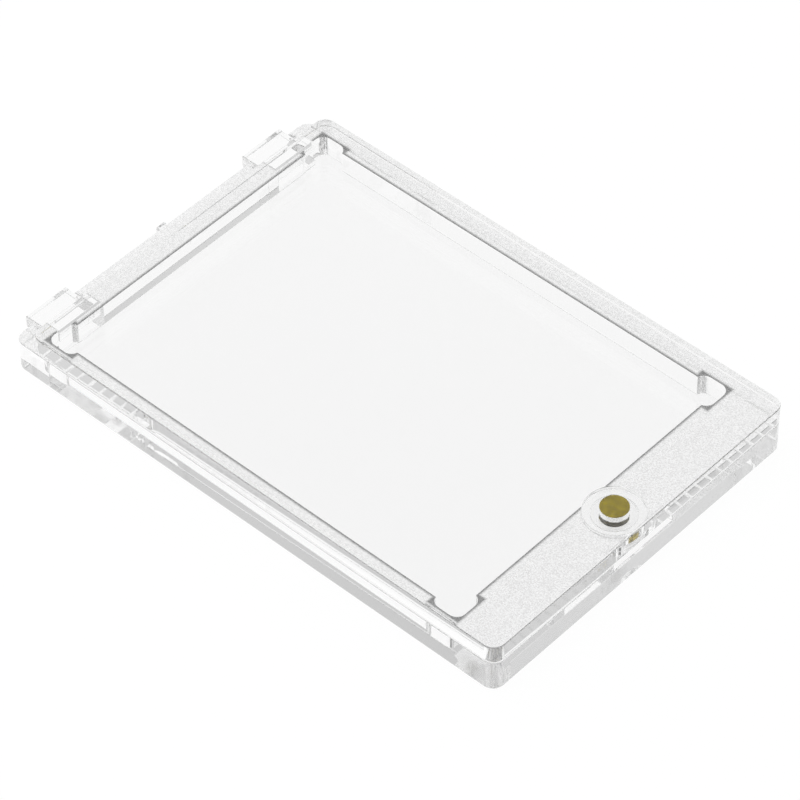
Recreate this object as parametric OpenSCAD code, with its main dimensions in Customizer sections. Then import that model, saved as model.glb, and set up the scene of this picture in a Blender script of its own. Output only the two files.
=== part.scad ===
/* [View] */
// Sub-part to draw, or all of them

/* [Case] */
// Width of the case across the card
case_width = 73; // [60:0.5:100]
// Length of the tray from the magnet end to the hinge end
case_length = 109; // [90:0.5:150]
// Height of the tray
tray_height = 6.5; // [5.2:0.1:14]
// Thickness of the lid plate
lid_thickness = 3.7; // [3.4:0.1:6]
// Gap between the tray rim and the closed lid
parting_gap = 0.1; // [0.05:0.05:0.3]
// Radius of the upright corners
corner_radius = 2.3; // [1:0.1:6]
// Radius on the outer faces' long edges
edge_radius = 0.35; // [0.1:0.05:1]
// Radius on the two edges that meet at the parting line
parting_radius = 0.25; // [0.1:0.05:0.6]

/* [Card well] */
// Width of the card
card_width = 63.5; // [40:0.1:90]
// Length of the card
card_length = 88.9; // [60:0.1:130]
// Room left on each side of the card's width
card_side_room = 1.05; // [0.3:0.05:3]
// Room left at each end of the card's length
card_end_room = 0.75; // [0.3:0.05:3]
// Depth of the well below the tray rim
well_depth = 4.3; // [4.1:0.1:11]
// Distance of the well's middle from the case's middle, towards the hinge
well_shift = 2; // [0:0.1:6]
// Side of the square relief pocket at each corner of the card
relief_size = 6; // [4:0.1:10]
// How far a relief pocket cuts into the wall beyond the card's edge
relief_reach = 1.35; // [0.5:0.05:2.5]
// Corner radius of a relief pocket
relief_radius = 1.8; // [0.5:0.1:2.4]

/* [Hinge] */
// Length of the tray ledge that is left bare behind the lid
ledge_depth = 4.3; // [3.5:0.1:6]
// Width of each lid arm
arm_width = 9.3; // [5:0.1:14]
// Distance from the case's middle plane to each arm's middle
arm_offset = 26.65; // [15:0.05:30]
// Gap on each side of an arm in its notch
arm_clearance = 0.3; // [0.2:0.05:0.6]
// Height of an arm below the tray rim
arm_height = 2.7; // [2:0.1:4]
// How far each arm stands out beyond the tray's end
arm_overhang = 2.2; // [1:0.1:2.6]
// Distance of the pivot line in from the tray's end
pivot_inset = 1.2; // [1:0.1:2.4]
// Depth of the pivot line below the tray rim
pivot_drop = 1.4; // [1:0.1:2.4]
// Diameter of the pivot stubs on the arms
stub_diameter = 1.5; // [1:0.1:2.4]
// Length of a stub beyond the arm's side
stub_length = 0.75; // [0.5:0.05:1.5]
// Gap round a stub in its socket
stub_clearance = 0.15; // [0.1:0.05:0.4]
// Radius on the arm's outer upper and lower edge
arm_nose_radius = 0.3; // [0.1:0.05:1]

/* [Magnets] */
// Diameter of the two magnet discs
magnet_diameter = 5; // [3:0.1:8]
// Thickness of each magnet disc
magnet_thickness = 2; // [1:0.1:3]
// Gap round a magnet in its bore
magnet_clearance = 0.1; // [0.05:0.05:0.3]
// Distance of the magnets' centre from the tray's magnet end
magnet_inset = 6.3; // [5:0.1:8]
// Clear plastic left above the lid magnet
magnet_roof = 0.6; // [0.4:0.1:1.5]
// Diameter of the plug that closes the lid's bore
lid_plug_diameter = 10.7; // [7:0.1:12]
// Diameter of the plug that closes the tray's bore
tray_plug_diameter = 7.9; // [6:0.1:10]
// Thickness of the tray's plug
tray_plug_thickness = 0.8; // [0.5:0.1:2]
// Gap round each plug
plug_clearance = 0.08; // [0.05:0.01:0.2]

/* [Pry notch] */
// Width of the fingernail notch at the magnet end
notch_width = 14.6; // [8:0.1:30]
// Height of the notch below the parting line
notch_height = 1.3; // [0.6:0.1:2.5]
// Depth of the notch into the tray
notch_depth = 1.6; // [0.8:0.1:2.5]
// Radius of the notch's two inner corners
notch_corner = 0.8; // [0.2:0.1:1.2]

/* [Gate mark] */
// Width of the trimmed moulding gate left at the hinge end
gate_width = 1.8; // [1:0.1:4]
// Height of the trimmed gate
gate_height = 1.4; // [0.8:0.1:3]
// How far the trimmed gate stands out
gate_stub = 0.9; // [0.2:0.1:2]

/* [Hidden] */
$fn = 96;

half_width = case_width / 2;
half_length = case_length / 2;
lid_low = tray_height + parting_gap;
lid_high = lid_low + lid_thickness;
lid_end = half_length - ledge_depth;
lid_span = half_length + lid_end;

well_width = card_width + 2 * card_side_room;
well_length = card_length + 2 * card_end_room;
well_floor = tray_height - well_depth;
well_low_end = well_shift - well_length / 2;
well_high_end = well_shift + well_length / 2;

pivot_y = half_length - pivot_inset;
pivot_z = tray_height - pivot_drop;
arm_low = tray_height - arm_height;
arm_tip = half_length + arm_overhang;
arm_root = lid_end - 1.6;
leg_reach = norm([pivot_y - arm_root, pivot_z - arm_low]);
bay_wall = pivot_y - leg_reach - arm_clearance;
bay_width = arm_width + 2 * arm_clearance;
socket_depth = stub_length - arm_clearance + stub_clearance;

magnet_y = -half_length + magnet_inset;
lid_magnet_high = lid_high - magnet_roof;
lid_magnet_low = lid_magnet_high - magnet_thickness;
lid_plug_high = lid_magnet_low - magnet_clearance / 2;
tray_plug_low = tray_height - tray_plug_thickness;
base_magnet_high = tray_plug_low - magnet_clearance / 2;
base_magnet_low = base_magnet_high - magnet_thickness;
seat_gap = magnet_clearance / 2;

clear_plastic = [0.93, 0.95, 0.96, 0.35];
gilt = [0.62, 0.53, 0.18];
nickel = [0.75, 0.75, 0.73];

// One side's section, from the plane u = 0 out to the rounded outer face
module side_section(reach, low, high, low_radius, high_radius) {
  translate([-0.5, low]) square([reach + 0.5 - max(low_radius, high_radius), high - low]);
  translate([-0.5, low + low_radius])
    square([reach + 0.5, high - low - low_radius - high_radius]);
  translate([reach - low_radius, low + low_radius]) circle(r = low_radius);
  translate([reach - high_radius, high - high_radius]) circle(r = high_radius);
  translate([-0.5, low]) square([reach + 0.5 - low_radius, low_radius]);
  translate([-0.5, high - high_radius]) square([reach + 0.5 - high_radius, high_radius]);
}

// The same section kept to one side of the corner's upright axis
module corner_section(reach, low, high, low_radius, high_radius) {
  intersection() {
    side_section(reach, low, high, low_radius, high_radius);
    translate([0, low]) square([reach, high - low]);
  }
}

// Plate with round upright corners and rounded upper and lower edges
module moulded_plate(low_y, high_y, low, high, low_radius, high_radius) {
  run_x = case_width - 2 * corner_radius;
  run_y = high_y - low_y - 2 * corner_radius;
  mid_y = (low_y + high_y) / 2;
  translate([-run_x / 2 - 0.2, mid_y - run_y / 2 - 0.2, low])
    cube([run_x + 0.4, run_y + 0.4, high - low]);
  for (side = [-1, 1]) {
    translate([side * run_x / 2, mid_y + side * run_y / 2, 0])
      rotate([90, 0, side > 0 ? 0 : 180])
        linear_extrude(run_y)
          side_section(corner_radius, low, high, low_radius, high_radius);
    translate([-side * run_x / 2, mid_y + side * run_y / 2, 0])
      rotate([90, 0, side > 0 ? 90 : -90])
        linear_extrude(run_x)
          side_section(corner_radius, low, high, low_radius, high_radius);
    for (end = [-1, 1])
      translate([side * run_x / 2, mid_y + end * run_y / 2, 0])
        rotate_extrude()
          corner_section(corner_radius, low, high, low_radius, high_radius);
  }
}

// Block with round upright corners, standing on z = 0
module round_block(size_x, size_y, height, radius) {
  for (sx = [-1, 1], sy = [-1, 1])
    translate([sx * (size_x / 2 - radius), sy * (size_y / 2 - radius), 0])
      cylinder(h = height, r = radius);
  translate([-size_x / 2 + radius, -size_y / 2, 0])
    cube([size_x - 2 * radius, size_y, height]);
  translate([-size_x / 2, -size_y / 2 + radius, 0])
    cube([size_x, size_y - 2 * radius, height]);
}

// The hollow for the card with its four relief pockets
module card_well() {
  reach_x = well_width / 2 + relief_reach - relief_size / 2;
  reach_y = well_length / 2 + relief_reach - relief_size / 2;
  translate([0, well_shift, well_floor]) {
    translate([-well_width / 2, -well_length / 2, 0])
      cube([well_width, well_length, well_depth + 1]);
    for (sx = [-1, 1], sy = [-1, 1])
      translate([sx * reach_x, sy * reach_y, 0])
        round_block(relief_size, relief_size, well_depth + 1, relief_radius);
  }
}

// Space that one lid arm swings through at the hinge end
module arm_bay() {
  translate([-bay_width / 2, bay_wall, -1])
    cube([bay_width, half_length - bay_wall + 1, tray_height + 2]);
}

// Sockets for the pivot stubs on either side of one arm bay
module stub_sockets() {
  reach = bay_width / 2 + socket_depth;
  translate([-reach, pivot_y, pivot_z])
    rotate([0, 90, 0]) cylinder(h = 2 * reach, d = stub_diameter + 2 * stub_clearance);
}

module pry_notch() {
  translate([0, -half_length, tray_height - notch_height])
    round_block(notch_width, 2 * notch_depth, notch_height + 1, notch_corner);
}

module base_tray() {
  color(clear_plastic)
  union() {
    difference() {
      moulded_plate(-half_length, half_length, 0, tray_height, edge_radius, parting_radius);
      card_well();
      for (side = [-1, 1]) translate([side * arm_offset, 0, 0]) {
        arm_bay();
        stub_sockets();
      }
      pry_notch();
      translate([0, magnet_y, tray_plug_low])
        cylinder(h = tray_plug_thickness + 1, d = tray_plug_diameter + 2 * plug_clearance);
      translate([0, magnet_y, base_magnet_low - seat_gap])
        cylinder(h = tray_height, d = magnet_diameter + 2 * magnet_clearance);
    }
    translate([-gate_width / 2, half_length - 0.5, tray_height - parting_radius - gate_height])
      cube([gate_width, gate_stub + 0.5, gate_height]);
  }
}

// Side view of one arm, u towards the hinge end and v up, about the pivot
module arm_outline() {
  tip = arm_tip - pivot_y;
  low = arm_low - pivot_z;
  high = tray_height - pivot_z;
  root = arm_root - pivot_y;
  translate([root, low]) square([tip - root - arm_nose_radius, high - low]);
  translate([root, low + arm_nose_radius])
    square([tip - root, high - low - 2 * arm_nose_radius]);
  for (v = [low + arm_nose_radius, high - arm_nose_radius])
    translate([tip - arm_nose_radius, v]) circle(r = arm_nose_radius);
  translate([root, low]) square([lid_end - arm_root, lid_low + 0.5 - arm_low]);
}

module lid_arm() {
  translate([-arm_width / 2, pivot_y, pivot_z])
    rotate([90, 0, 90]) linear_extrude(arm_width) arm_outline();
  translate([-arm_width / 2 - stub_length, pivot_y, pivot_z])
    rotate([0, 90, 0]) cylinder(h = arm_width + 2 * stub_length, d = stub_diameter);
}

module lid() {
  color(clear_plastic)
  difference() {
    union() {
      moulded_plate(-half_length, lid_end, lid_low, lid_high, parting_radius, edge_radius);
      for (side = [-1, 1]) translate([side * arm_offset, 0, 0]) lid_arm();
    }
    translate([0, magnet_y, lid_low - 1])
      cylinder(h = lid_plug_high - lid_low + 1, d = lid_plug_diameter + 2 * plug_clearance);
    translate([0, magnet_y, lid_low])
      cylinder(h = lid_magnet_high + seat_gap - lid_low, d = magnet_diameter + 2 * magnet_clearance);
  }
}

module lid_magnet() {
  color(gilt)
  translate([0, magnet_y, lid_magnet_low]) cylinder(h = magnet_thickness, d = magnet_diameter);
}

module lid_magnet_plug() {
  color(clear_plastic)
  translate([0, magnet_y, lid_low]) cylinder(h = lid_plug_high - seat_gap - lid_low, d = lid_plug_diameter);
}

module base_magnet() {
  color(nickel)
  translate([0, magnet_y, base_magnet_low]) cylinder(h = magnet_thickness, d = magnet_diameter);
}

module base_magnet_plug() {
  color(clear_plastic)
  translate([0, magnet_y, tray_plug_low + seat_gap])
    cylinder(h = tray_plug_thickness - seat_gap, d = tray_plug_diameter);
}

base_tray();
lid();
lid_magnet();
lid_magnet_plug();
base_magnet();
base_magnet_plug();
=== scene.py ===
"""Clear trading card display case, closed and lying flat on a pale table."""

import logging
import math
from dataclasses import dataclass
from enum import Enum

import bpy
from mathutils import Matrix, Vector


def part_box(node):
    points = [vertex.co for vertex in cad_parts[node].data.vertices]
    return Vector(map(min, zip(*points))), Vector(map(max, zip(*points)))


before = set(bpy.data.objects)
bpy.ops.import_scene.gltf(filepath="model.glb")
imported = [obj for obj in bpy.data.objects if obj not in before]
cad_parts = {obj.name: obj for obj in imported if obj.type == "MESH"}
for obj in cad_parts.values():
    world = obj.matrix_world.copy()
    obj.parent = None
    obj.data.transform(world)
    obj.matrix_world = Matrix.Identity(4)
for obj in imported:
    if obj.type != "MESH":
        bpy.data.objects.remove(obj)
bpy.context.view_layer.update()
TRAY_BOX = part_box("base_tray")
PLUG_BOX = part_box("lid_magnet_plug")

LOG = logging.getLogger("card_case")
MM = 0.001
PHOTO_SIDE = 800
SENSOR_MM = 36.0
IN_PLAN = (1.0, 1.0, 0.0)


class Piece(Enum):
    """The solids that are carried over from the frame."""

    TRAY = "base_tray"
    TRAY_MAGNET = "base_magnet"
    TRAY_PLUG = "base_magnet_plug"
    LID = "lid"
    LID_MAGNET = "lid_magnet"
    LID_PLUG = "lid_magnet_plug"


def linear(hex_colour: str) -> tuple[float, float, float, float]:
    """Turn an sRGB hex colour into the linear colour that a shader takes.

    Args:
        hex_colour: Six hex digits, with or without a leading #.

    Returns:
        Linear red, green and blue with an alpha of 1.
    """
    digits = hex_colour.lstrip("#")
    parts = [int(digits[i:i + 2], 16) / 255 for i in (0, 2, 4)]
    flat = [c / 12.92 if c <= 0.04045 else ((c + 0.055) / 1.055) ** 2.4 for c in parts]
    return flat[0], flat[1], flat[2], 1.0


def grey(level: float) -> tuple[float, float, float, float]:
    """Make a neutral linear colour.

    Args:
        level: Linear brightness from 0 to 1.

    Returns:
        The colour with an alpha of 1.
    """
    return level, level, level, 1.0


def add_node(tree: bpy.types.NodeTree, kind: str, links: dict | None = None, **settings) -> bpy.types.Node:
    """Add one node with its settings and its inputs.

    Args:
        tree: Node tree that takes the node.
        kind: Blender's name for the node's type.
        links: Input name or index to a value, or to the output socket that feeds it.
        settings: Attributes set on the node itself.

    Returns:
        The new node.
    """
    node = tree.nodes.new(kind)
    for name, value in settings.items():
        setattr(node, name, value)
    for key, value in (links or {}).items():
        socket = node.inputs[key]
        if isinstance(value, bpy.types.NodeSocket):
            tree.links.new(value, socket)
        else:
            socket.default_value = value
    return node


def new_material(name: str) -> tuple[bpy.types.Material, bpy.types.NodeTree]:
    """Make an empty node material.

    Args:
        name: Name of the material.

    Returns:
        The material and its node tree.
    """
    material = bpy.data.materials.new(name)
    material.use_nodes = True
    material.node_tree.nodes.clear()
    return material, material.node_tree


@dataclass(frozen=True)
class MouldedPolystyrene:
    """Crystal polystyrene, injection moulded in a mirror-polished tool.

    The eye gets a water-clear body with white glints, bright and grey bands where the
    upright faces mirror the table, and a very slight waviness in the flat faces.
    """

    name: str = "moulded_clear_polystyrene"
    tint: str = "#FFFFFF"
    ior: float = 1.55
    roughness: float = 0.0
    wave_mm: float = 14.0
    wave_height_mm: float = 0.004
    wave_detail: float = 1.0
    edge_mm: float = 0.2
    edge_samples: int = 4
    shadow: str = "#F5F5F5"

    def finish(
        self,
        tree: bpy.types.NodeTree,
        colour: bpy.types.NodeSocket | tuple[float, float, float, float],
        roughness: bpy.types.NodeSocket | float,
        normal: bpy.types.NodeSocket,
    ) -> None:
        """Close the material with its shader and let the lamps through it.

        Args:
            tree: The material's node tree.
            colour: What the surface lets through, as a colour or as a socket.
            roughness: Roughness as a number or as a socket.
            normal: Normal socket of the moulded surface.
        """
        plastic = add_node(
            tree,
            "ShaderNodeBsdfPrincipled",
            {
                "Base Color": colour,
                "IOR": self.ior,
                "Transmission Weight": 1.0,
                "Roughness": roughness,
                "Normal": normal,
            },
        )
        open_air = add_node(tree, "ShaderNodeBsdfTransparent", {"Color": linear(self.shadow)})
        path = add_node(tree, "ShaderNodeLightPath")
        both = add_node(
            tree,
            "ShaderNodeMixShader",
            {0: path.outputs["Is Shadow Ray"], 1: plastic.outputs[0], 2: open_air.outputs[0]},
        )
        add_node(tree, "ShaderNodeOutputMaterial", {"Surface": both.outputs[0]})

    def waves(self, tree: bpy.types.NodeTree) -> bpy.types.NodeSocket:
        """Add the faint sink and flow waves of a thick moulding.

        Args:
            tree: The material's node tree.

        Returns:
            The normal socket of the waved surface.
        """
        place = add_node(tree, "ShaderNodeTexCoord").outputs["Object"]
        noise = add_node(
            tree,
            "ShaderNodeTexNoise",
            {"Vector": place, "Scale": 1 / (self.wave_mm * MM), "Detail": self.wave_detail},
        )
        edge = add_node(
            tree, "ShaderNodeBevel", {"Radius": self.edge_mm * MM}, samples=self.edge_samples
        )
        bump = add_node(
            tree,
            "ShaderNodeBump",
            {
                "Height": noise.outputs[0],
                "Distance": self.wave_height_mm * MM,
                "Strength": 1.0,
                "Normal": edge.outputs[0],
            },
        )
        return bump.outputs[0]

    def material(self) -> bpy.types.Material:
        """Make the plain polished material."""
        material, tree = new_material(self.name)
        self.finish(tree, linear(self.tint), self.roughness, self.waves(tree))
        return material


@dataclass(frozen=True)
class SparkGroundRim:
    """The tray's rim, moulded against a spark-eroded face of the tool.

    The eye gets a fine pale grain that hides what is under it, a clear round window where
    the polished plug of the lid's magnet sits, painted shade (a dark band painted into the colour
    along the well, standing in for the shade of its upright walls), and a dark seam round the window.
    The grain is drawn a little coarser than the real one, so that it shows.
    """

    plastic: MouldedPolystyrene = MouldedPolystyrene()
    name: str = "spark_ground_polystyrene_rim"
    roughness: float = 0.12
    grain_mm: float = 0.22
    grain_height_mm: float = 0.02
    grain_detail: float = 2.0
    grain_blend: float = 0.6
    grain_band: tuple[float, float] = (0.43, 0.57)
    grain_share: tuple[float, float] = (0.7, 1.0)
    rim_height: float = TRAY_BOX[1][2]
    rim_play_mm: float = 0.03
    window_radius: float = PLUG_BOX[1][0]
    window_play_mm: float = 0.05
    window_y: float = (PLUG_BOX[0][1] + PLUG_BOX[1][1]) / 2
    well_mm: tuple[float, float] = (65.6, 90.4)
    well_shift_mm: float = 2.0
    relief_mm: float = 6.0
    relief_reach_mm: float = 1.35
    # Painted shade: a dark band in the rim's colour along the well's edge, where it starts and fades out,
    # and how dark it gets.
    painted_shade_mm: tuple[float, float] = (0.12, 0.75)
    painted_shade_dark: float = 0.08
    ring_mm: float = 0.14
    ring_dark: float = 0.3

    @property
    def window_edge(self) -> float:
        """Radius of the polished window, in metres."""
        return self.window_radius + self.window_play_mm * MM

    def beyond_box(
        self,
        tree: bpy.types.NodeTree,
        folded: bpy.types.NodeSocket,
        middle_mm: tuple[float, float],
        half_mm: tuple[float, float],
    ) -> bpy.types.NodeSocket:
        """Measure how far a point lies outside a box of the well's plan.

        Args:
            tree: The material's node tree.
            folded: Position from the well's middle, folded into one quarter, in metres.
            middle_mm: The box's middle in that quarter.
            half_mm: Half its width and half its length.

        Returns:
            A socket with the distance in metres, below 0 inside the box.
        """
        middle = (middle_mm[0] * MM, middle_mm[1] * MM, 0.0)
        off = add_node(tree, "ShaderNodeVectorMath", {0: folded, 1: middle}, operation="SUBTRACT")
        size = add_node(tree, "ShaderNodeVectorMath", {0: off.outputs[0]}, operation="ABSOLUTE")
        half = (half_mm[0] * MM, half_mm[1] * MM, 0.0)
        past = add_node(tree, "ShaderNodeVectorMath", {0: size.outputs[0], 1: half}, operation="SUBTRACT")
        parts = add_node(tree, "ShaderNodeSeparateXYZ", {0: past.outputs[0]})
        return add_node(
            tree, "ShaderNodeMath", {0: parts.outputs["X"], 1: parts.outputs["Y"]}, operation="MAXIMUM"
        ).outputs[0]

    def beyond_well(self, tree: bpy.types.NodeTree, place: bpy.types.NodeSocket) -> bpy.types.NodeSocket:
        """Measure how far a point of the rim lies outside the well and its reliefs.

        Args:
            tree: The material's node tree.
            place: Position in the row's frame, in metres.

        Returns:
            A socket with the distance in metres.
        """
        middle = (0.0, self.well_shift_mm * MM, 0.0)
        off = add_node(tree, "ShaderNodeVectorMath", {0: place, 1: middle}, operation="SUBTRACT")
        flat = add_node(
            tree, "ShaderNodeVectorMath", {0: off.outputs[0], 1: IN_PLAN}, operation="MULTIPLY"
        )
        folded = add_node(tree, "ShaderNodeVectorMath", {0: flat.outputs[0]}, operation="ABSOLUTE")
        half = (self.well_mm[0] / 2, self.well_mm[1] / 2)
        reach = self.relief_reach_mm - self.relief_mm / 2
        corner = (half[0] + reach, half[1] + reach)
        boxes = (
            self.beyond_box(tree, folded.outputs[0], (0.0, 0.0), half),
            self.beyond_box(tree, folded.outputs[0], corner, (self.relief_mm / 2, self.relief_mm / 2)),
        )
        return add_node(
            tree, "ShaderNodeMath", {0: boxes[0], 1: boxes[1]}, operation="MINIMUM"
        ).outputs[0]

    def from_window(self, tree: bpy.types.NodeTree, place: bpy.types.NodeSocket) -> bpy.types.NodeSocket:
        """Measure the distance in plan from the middle of the polished window.

        Args:
            tree: The material's node tree.
            place: Position in the row's frame, in metres.

        Returns:
            A socket with the distance in metres.
        """
        flat = add_node(tree, "ShaderNodeVectorMath", {0: place, 1: IN_PLAN}, operation="MULTIPLY")
        return add_node(
            tree,
            "ShaderNodeVectorMath",
            {0: flat.outputs[0], 1: (0.0, self.window_y, 0.0)},
            operation="DISTANCE",
        ).outputs["Value"]

    def mask(
        self, tree: bpy.types.NodeTree, place: bpy.types.NodeSocket, away: bpy.types.NodeSocket
    ) -> bpy.types.NodeSocket:
        """Find the ground surface by its height and its distance from the window.

        Args:
            tree: The material's node tree.
            place: Position in the row's frame, in metres.
            away: Distance from the middle of the window, in metres.

        Returns:
            A socket that is 1 on the ground surface and 0 elsewhere.
        """
        parts = add_node(tree, "ShaderNodeSeparateXYZ", {0: place})
        high = add_node(
            tree,
            "ShaderNodeMath",
            {0: parts.outputs["Z"], 1: self.rim_height, 2: self.rim_play_mm * MM},
            operation="COMPARE",
        )
        outside = add_node(
            tree, "ShaderNodeMath", {0: away, 1: self.window_edge}, operation="GREATER_THAN"
        )
        both = add_node(
            tree, "ShaderNodeMath", {0: high.outputs[0], 1: outside.outputs[0]}, operation="MULTIPLY"
        )
        return both.outputs[0]

    def fade(
        self,
        tree: bpy.types.NodeTree,
        away: bpy.types.NodeSocket,
        span: tuple[float, float],
        dark: float,
        shape: str = "LINEAR",
    ) -> bpy.types.NodeSocket:
        """Let a dark edge fade out with the distance from it.

        Args:
            tree: The material's node tree.
            away: Distance in metres.
            span: Distances in metres where the fade starts and ends.
            dark: Share of the light that the edge itself lets through.
            shape: Way in which the fade runs.

        Returns:
            A socket from dark to 1.
        """
        return add_node(
            tree,
            "ShaderNodeMapRange",
            {0: away, 1: span[0], 2: span[1], 3: dark, 4: 1.0},
            interpolation_type=shape,
        ).outputs[0]

    def painted_shade_and_seam(
        self, tree: bpy.types.NodeTree, place: bpy.types.NodeSocket, away: bpy.types.NodeSocket
    ) -> bpy.types.NodeSocket:
        """Paint shade on the rim along the well, and darken the seam round the window.

        Args:
            tree: The material's node tree.
            place: Position in the row's frame, in metres.
            away: Distance from the middle of the window, in metres.

        Returns:
            A socket with the share of the light that the rim lets through.
        """
        # The band along the well is painted shade, a darker colour standing in for the shade of the well's
        # walls.
        painted_shade_span = (self.painted_shade_mm[0] * MM, self.painted_shade_mm[1] * MM)
        painted_shade = self.fade(tree, self.beyond_well(tree, place), painted_shade_span, self.painted_shade_dark, "SMOOTHSTEP")
        ring_span = (self.window_edge, self.window_edge + self.ring_mm * MM)
        ring = self.fade(tree, away, ring_span, self.ring_dark)
        return add_node(tree, "ShaderNodeMath", {0: ring, 1: painted_shade}, operation="MULTIPLY").outputs[0]

    def material(self) -> bpy.types.Material:
        """Make the material of the tray, polished all over but for its rim."""
        material, tree = new_material(self.name)
        place = add_node(tree, "ShaderNodeTexCoord").outputs["Object"]
        away = self.from_window(tree, place)
        mask = self.mask(tree, place, away)
        grain = add_node(
            tree,
            "ShaderNodeTexNoise",
            {
                "Vector": place,
                "Scale": 1 / (self.grain_mm * MM),
                "Detail": self.grain_detail,
                "Roughness": self.grain_blend,
            },
        )
        speckle = add_node(
            tree,
            "ShaderNodeMapRange",
            {
                0: grain.outputs[0],
                1: self.grain_band[0],
                2: self.grain_band[1],
                3: self.grain_share[0],
                4: self.grain_share[1],
            },
        )
        # Grain speckle times the painted shade along the well and the dark seam round the window.
        share = add_node(
            tree,
            "ShaderNodeMath",
            {0: speckle.outputs[0], 1: self.painted_shade_and_seam(tree, place, away)},
            operation="MULTIPLY",
        )
        clear = linear(self.plastic.tint)
        colour = add_node(
            tree, "ShaderNodeMix", {0: mask, 6: clear, 7: share.outputs[0]}, data_type="RGBA"
        )
        bump = add_node(
            tree,
            "ShaderNodeBump",
            {
                "Height": grain.outputs[0],
                "Distance": self.grain_height_mm * MM,
                "Strength": mask,
                "Normal": self.plastic.waves(tree),
            },
        )
        rough = add_node(tree, "ShaderNodeMath", {0: mask, 1: self.roughness}, operation="MULTIPLY")
        self.plastic.finish(tree, colour.outputs[2], rough.outputs[0], bump.outputs[0])
        return material


@dataclass(frozen=True)
class PlatedDisc:
    """A pressed magnet disc with a bright plated skin.

    The eye gets a metal face with a soft mottle and fine pits left by the barrel plating.
    """

    name: str
    colour: str
    dull_colour: str
    roughness: float
    roughness_play: float = 0.3
    mottle_mm: float = 1.6
    mottle_detail: float = 3.0
    mottle_band: tuple[float, float] = (0.3, 0.7)
    pit_mm: float = 0.22
    pit_detail: float = 2.0
    pit_height_mm: float = 0.008

    def material(self) -> bpy.types.Material:
        """Make the plated metal."""
        material, tree = new_material(self.name)
        place = add_node(tree, "ShaderNodeTexCoord").outputs["Object"]
        mottle = add_node(
            tree,
            "ShaderNodeTexNoise",
            {"Vector": place, "Scale": 1 / (self.mottle_mm * MM), "Detail": self.mottle_detail},
        )
        blend = add_node(
            tree,
            "ShaderNodeMix",
            {0: mottle.outputs[0], 6: linear(self.colour), 7: linear(self.dull_colour)},
            data_type="RGBA",
        )
        rough = add_node(
            tree,
            "ShaderNodeMapRange",
            {
                0: mottle.outputs[0],
                1: self.mottle_band[0],
                2: self.mottle_band[1],
                3: self.roughness * (1 - self.roughness_play),
                4: self.roughness * (1 + self.roughness_play),
            },
        )
        pits = add_node(
            tree,
            "ShaderNodeTexNoise",
            {"Vector": place, "Scale": 1 / (self.pit_mm * MM), "Detail": self.pit_detail},
        )
        bump = add_node(
            tree,
            "ShaderNodeBump",
            {"Height": pits.outputs[0], "Distance": self.pit_height_mm * MM, "Strength": 1.0},
        )
        metal = add_node(
            tree,
            "ShaderNodeBsdfPrincipled",
            {
                "Base Color": blend.outputs[2],
                "Metallic": 1.0,
                "Roughness": rough.outputs[0],
                "Normal": bump.outputs[0],
            },
        )
        add_node(tree, "ShaderNodeOutputMaterial", {"Surface": metal.outputs[0]})
        return material


def dress(piece: Piece, material: bpy.types.Material) -> None:
    """Give a carried-over solid its material.

    Args:
        piece: The solid.
        material: Material for every slot of its object.
    """
    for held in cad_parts[piece.value].material_slots:
        held.material = material
    LOG.info("%s: %s", piece.value, material.name)


@dataclass
class CardTray:
    """The lower half: a thick plate with the card well, the arms' bays and its magnet."""

    rim: SparkGroundRim = SparkGroundRim()
    magnet: PlatedDisc = PlatedDisc("nickel_plated_magnet", "#FAF9F4", "#E2DFD6", roughness=0.75)

    def build(self, clear: bpy.types.Material) -> None:
        """Dress the tray, its magnet and the plug over it.

        Args:
            clear: The plain polished plastic.
        """
        dress(Piece.TRAY, self.rim.material())
        dress(Piece.TRAY_PLUG, clear)
        dress(Piece.TRAY_MAGNET, self.magnet.material())


@dataclass
class CardLid:
    """The upper half: a clear plate with two hinge arms and its magnet."""

    magnet: PlatedDisc = PlatedDisc("gilt_plated_magnet", "#E0CB0C", "#A89306", roughness=0.42)

    def build(self, clear: bpy.types.Material) -> None:
        """Dress the lid, its magnet and the plug under it.

        Args:
            clear: The plain polished plastic.
        """
        dress(Piece.LID, clear)
        dress(Piece.LID_PLUG, clear)
        dress(Piece.LID_MAGNET, self.magnet.material())


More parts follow.
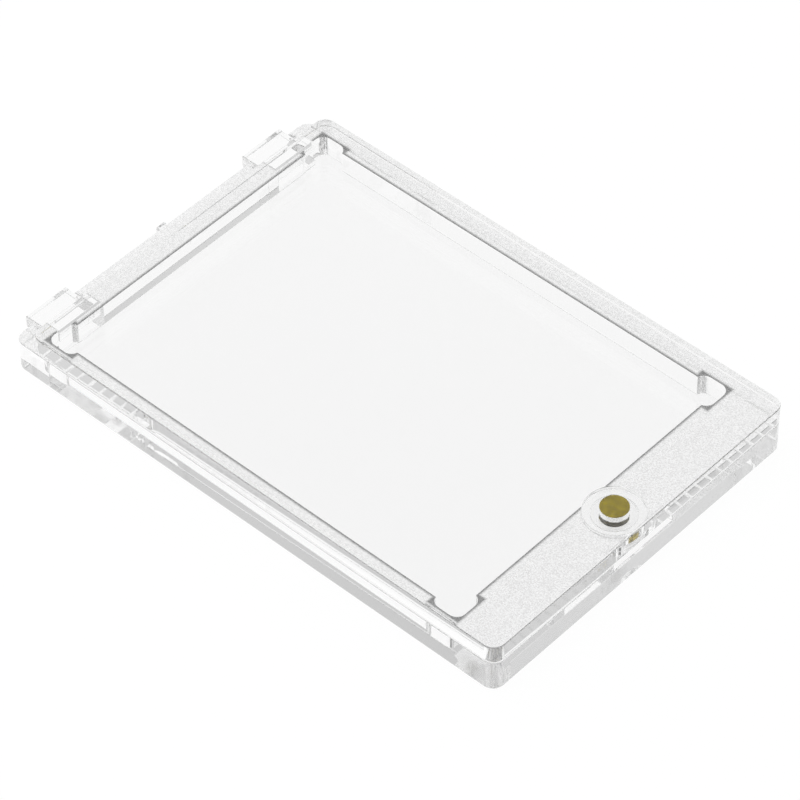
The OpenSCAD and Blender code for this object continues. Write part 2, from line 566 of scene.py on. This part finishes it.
@dataclass
class Studio:
    """A white table with a bright backdrop beyond it and a dim room behind the eye."""

    floor_colour: str = "#F5F5F5"
    floor_side: float = 6.0
    floor_drop: float = 0.00006
    seen_share: float = 0.96
    beyond: tuple[float, float] = (0.7413, 0.6711)
    beyond_band: tuple[float, float] = (-0.55, -0.35)
    backdrop: tuple[tuple[float, float], ...] = (
        (0.0, 1.0), (0.45, 0.95), (0.62, 0.8), (0.73, 0.58), (0.86, 0.4), (0.92, 0.1)
    )
    room_level: float = 0.2
    lamp_name: str = "soft_box_over"
    lamp_place_mm: tuple[float, float, float] = (-150.0, 250.0, 900.0)
    lamp_side_mm: float = 700.0
    lamp_watts: float = 8.5

    def seen(self, tree: bpy.types.NodeTree) -> bpy.types.NodeSocket:
        """Say which rays see the plain white background.

        Args:
            tree: Node tree that takes the nodes.

        Returns:
            A socket that is 1 for camera, mirror and refracted rays.
        """
        path = add_node(tree, "ShaderNodeLightPath")
        first = add_node(
            tree,
            "ShaderNodeMath",
            {0: path.outputs["Is Camera Ray"], 1: path.outputs["Is Glossy Ray"]},
            operation="MAXIMUM",
        )
        return add_node(
            tree,
            "ShaderNodeMath",
            {0: first.outputs[0], 1: path.outputs["Is Transmission Ray"]},
            operation="MAXIMUM",
        ).outputs[0]

    def floor(self) -> None:
        """Lay the table top just under the case."""
        half = self.floor_side / 2
        mesh = bpy.data.meshes.new("table_top")
        corners = [(-half, -half), (half, -half), (half, half), (-half, half)]
        mesh.from_pydata([(x, y, -self.floor_drop) for x, y in corners], [], [(0, 1, 2, 3)])
        table = bpy.data.objects.new("table_top", mesh)
        bpy.context.scene.collection.objects.link(table)
        material, tree = new_material("matt_white_table")
        matt = add_node(tree, "ShaderNodeBsdfDiffuse", {"Color": linear(self.floor_colour)})
        glow = add_node(tree, "ShaderNodeEmission", {"Color": grey(1.0), "Strength": 1.0})
        share = add_node(
            tree, "ShaderNodeMath", {0: self.seen(tree), 1: self.seen_share}, operation="MULTIPLY"
        )
        both = add_node(
            tree, "ShaderNodeMixShader", {0: share.outputs[0], 1: matt.outputs[0], 2: glow.outputs[0]}
        )
        add_node(tree, "ShaderNodeOutputMaterial", {"Surface": both.outputs[0]})
        mesh.materials.append(material)

    def sky(self) -> None:
        """Surround the case with a bright backdrop beyond it and a dim room behind the eye."""
        world = bpy.data.worlds.new("studio")
        bpy.context.scene.world = world
        world.use_nodes = True
        tree = world.node_tree
        tree.nodes.clear()
        way = add_node(tree, "ShaderNodeTexCoord").outputs["Generated"]
        height = add_node(tree, "ShaderNodeSeparateXYZ", {0: way}).outputs["Z"]
        level = add_node(tree, "ShaderNodeValToRGB", {0: height})
        steps = level.color_ramp.elements
        for step, (place, value) in ((steps[0], self.backdrop[0]), (steps[1], self.backdrop[-1])):
            step.position = place
            step.color = grey(value)
        for place, value in self.backdrop[1:-1]:
            steps.new(place).color = grey(value)
        flat = add_node(tree, "ShaderNodeVectorMath", {0: way, 1: IN_PLAN}, operation="MULTIPLY")
        unit = add_node(tree, "ShaderNodeVectorMath", {0: flat.outputs[0]}, operation="NORMALIZE")
        beyond = add_node(
            tree,
            "ShaderNodeVectorMath",
            {0: unit.outputs[0], 1: (*self.beyond, 0.0)},
            operation="DOT_PRODUCT",
        )
        side = add_node(
            tree,
            "ShaderNodeMapRange",
            {
                0: beyond.outputs["Value"],
                1: self.beyond_band[0],
                2: self.beyond_band[1],
                3: self.room_level,
                4: 1.0,
            },
            interpolation_type="SMOOTHSTEP",
        )
        lit = add_node(
            tree, "ShaderNodeMath", {0: level.outputs[0], 1: side.outputs[0]}, operation="MULTIPLY"
        )
        path = add_node(tree, "ShaderNodeLightPath")
        bright = add_node(
            tree,
            "ShaderNodeMath",
            {0: lit.outputs[0], 1: path.outputs["Is Camera Ray"]},
            operation="MAXIMUM",
        )
        light = add_node(
            tree, "ShaderNodeBackground", {"Color": grey(1.0), "Strength": bright.outputs[0]}
        )
        add_node(tree, "ShaderNodeOutputWorld", {"Surface": light.outputs[0]})

    def lamp(self) -> None:
        """Hang a square soft lamp that looks at the case."""
        data = bpy.data.lights.new(self.lamp_name, "AREA")
        data.shape = "SQUARE"
        data.size = self.lamp_side_mm * MM
        data.energy = self.lamp_watts
        lamp = bpy.data.objects.new(self.lamp_name, data)
        lamp.location = Vector(self.lamp_place_mm) * MM
        lamp.rotation_mode = "QUATERNION"
        lamp.rotation_quaternion = (-lamp.location).to_track_quat("-Z", "Y")
        lamp.visible_glossy = lamp.visible_transmission = False
        bpy.context.scene.collection.objects.link(lamp)

    def build(self) -> None:
        """Set up the table, the sky and the lamp."""
        self.floor()
        self.sky()
        self.lamp()
        LOG.info("studio: table, sky and soft box")


@dataclass(frozen=True)
class PhotoCamera:
    """The photograph's viewpoint, as fitted to the straight edges of the case."""

    azimuth_deg: float = -47.34563
    elevation_deg: float = 46.50986
    distance_mm: float = 758.4246
    focal_px: float = 4480.708
    target_mm: tuple[float, float] = (1.21227, 0.140699)
    roll_deg: float = -0.459086
    clip: tuple[float, float] = (0.01, 50.0)

    def build(self) -> None:
        """Make the camera and give it to the scene."""
        around, rise = math.radians(self.azimuth_deg), math.radians(self.elevation_deg)
        back = Vector(
            (math.sin(around) * math.cos(rise), -math.cos(around) * math.cos(rise), math.sin(rise))
        )
        level = (-back).cross(Vector((0, 0, 1))).normalized()
        high = level.cross(-back)
        roll = math.radians(self.roll_deg)
        right = level * math.cos(roll) + high * math.sin(roll)
        up = high * math.cos(roll) - level * math.sin(roll)
        place = Vector((*self.target_mm, 0.0)) * MM + back * self.distance_mm * MM
        data = bpy.data.cameras.new("photo_camera")
        data.sensor_width = SENSOR_MM
        data.lens = self.focal_px * SENSOR_MM / PHOTO_SIDE
        data.clip_start, data.clip_end = self.clip
        camera = bpy.data.objects.new("photo_camera", data)
        turn = Matrix((right, up, back)).transposed()
        camera.matrix_world = Matrix.Translation(place) @ turn.to_4x4()
        bpy.context.scene.collection.objects.link(camera)
        bpy.context.scene.camera = camera


def set_view(bounces: int = 80, all_bounces: int = 96) -> None:
    """Set the plain view transform and enough bounces for light inside thick plastic.

    Args:
        bounces: Most mirrored, refracted or passed-through bounces of a ray.
        all_bounces: Most bounces of a ray in all.
    """
    scene = bpy.context.scene
    scene.view_settings.view_transform = "Standard"
    scene.cycles.max_bounces = all_bounces
    scene.cycles.glossy_bounces = bounces
    scene.cycles.transmission_bounces = bounces
    scene.cycles.transparent_max_bounces = bounces


def main() -> None:
    """Build the case's halves in order, then the studio and the camera."""
    logging.basicConfig(level=logging.INFO, format="%(name)s: %(message)s")
    clear = MouldedPolystyrene().material()
    CardTray().build(clear)
    CardLid().build(clear)
    Studio().build()
    PhotoCamera().build()
    set_view()


if __name__ == "__main__":
    main()
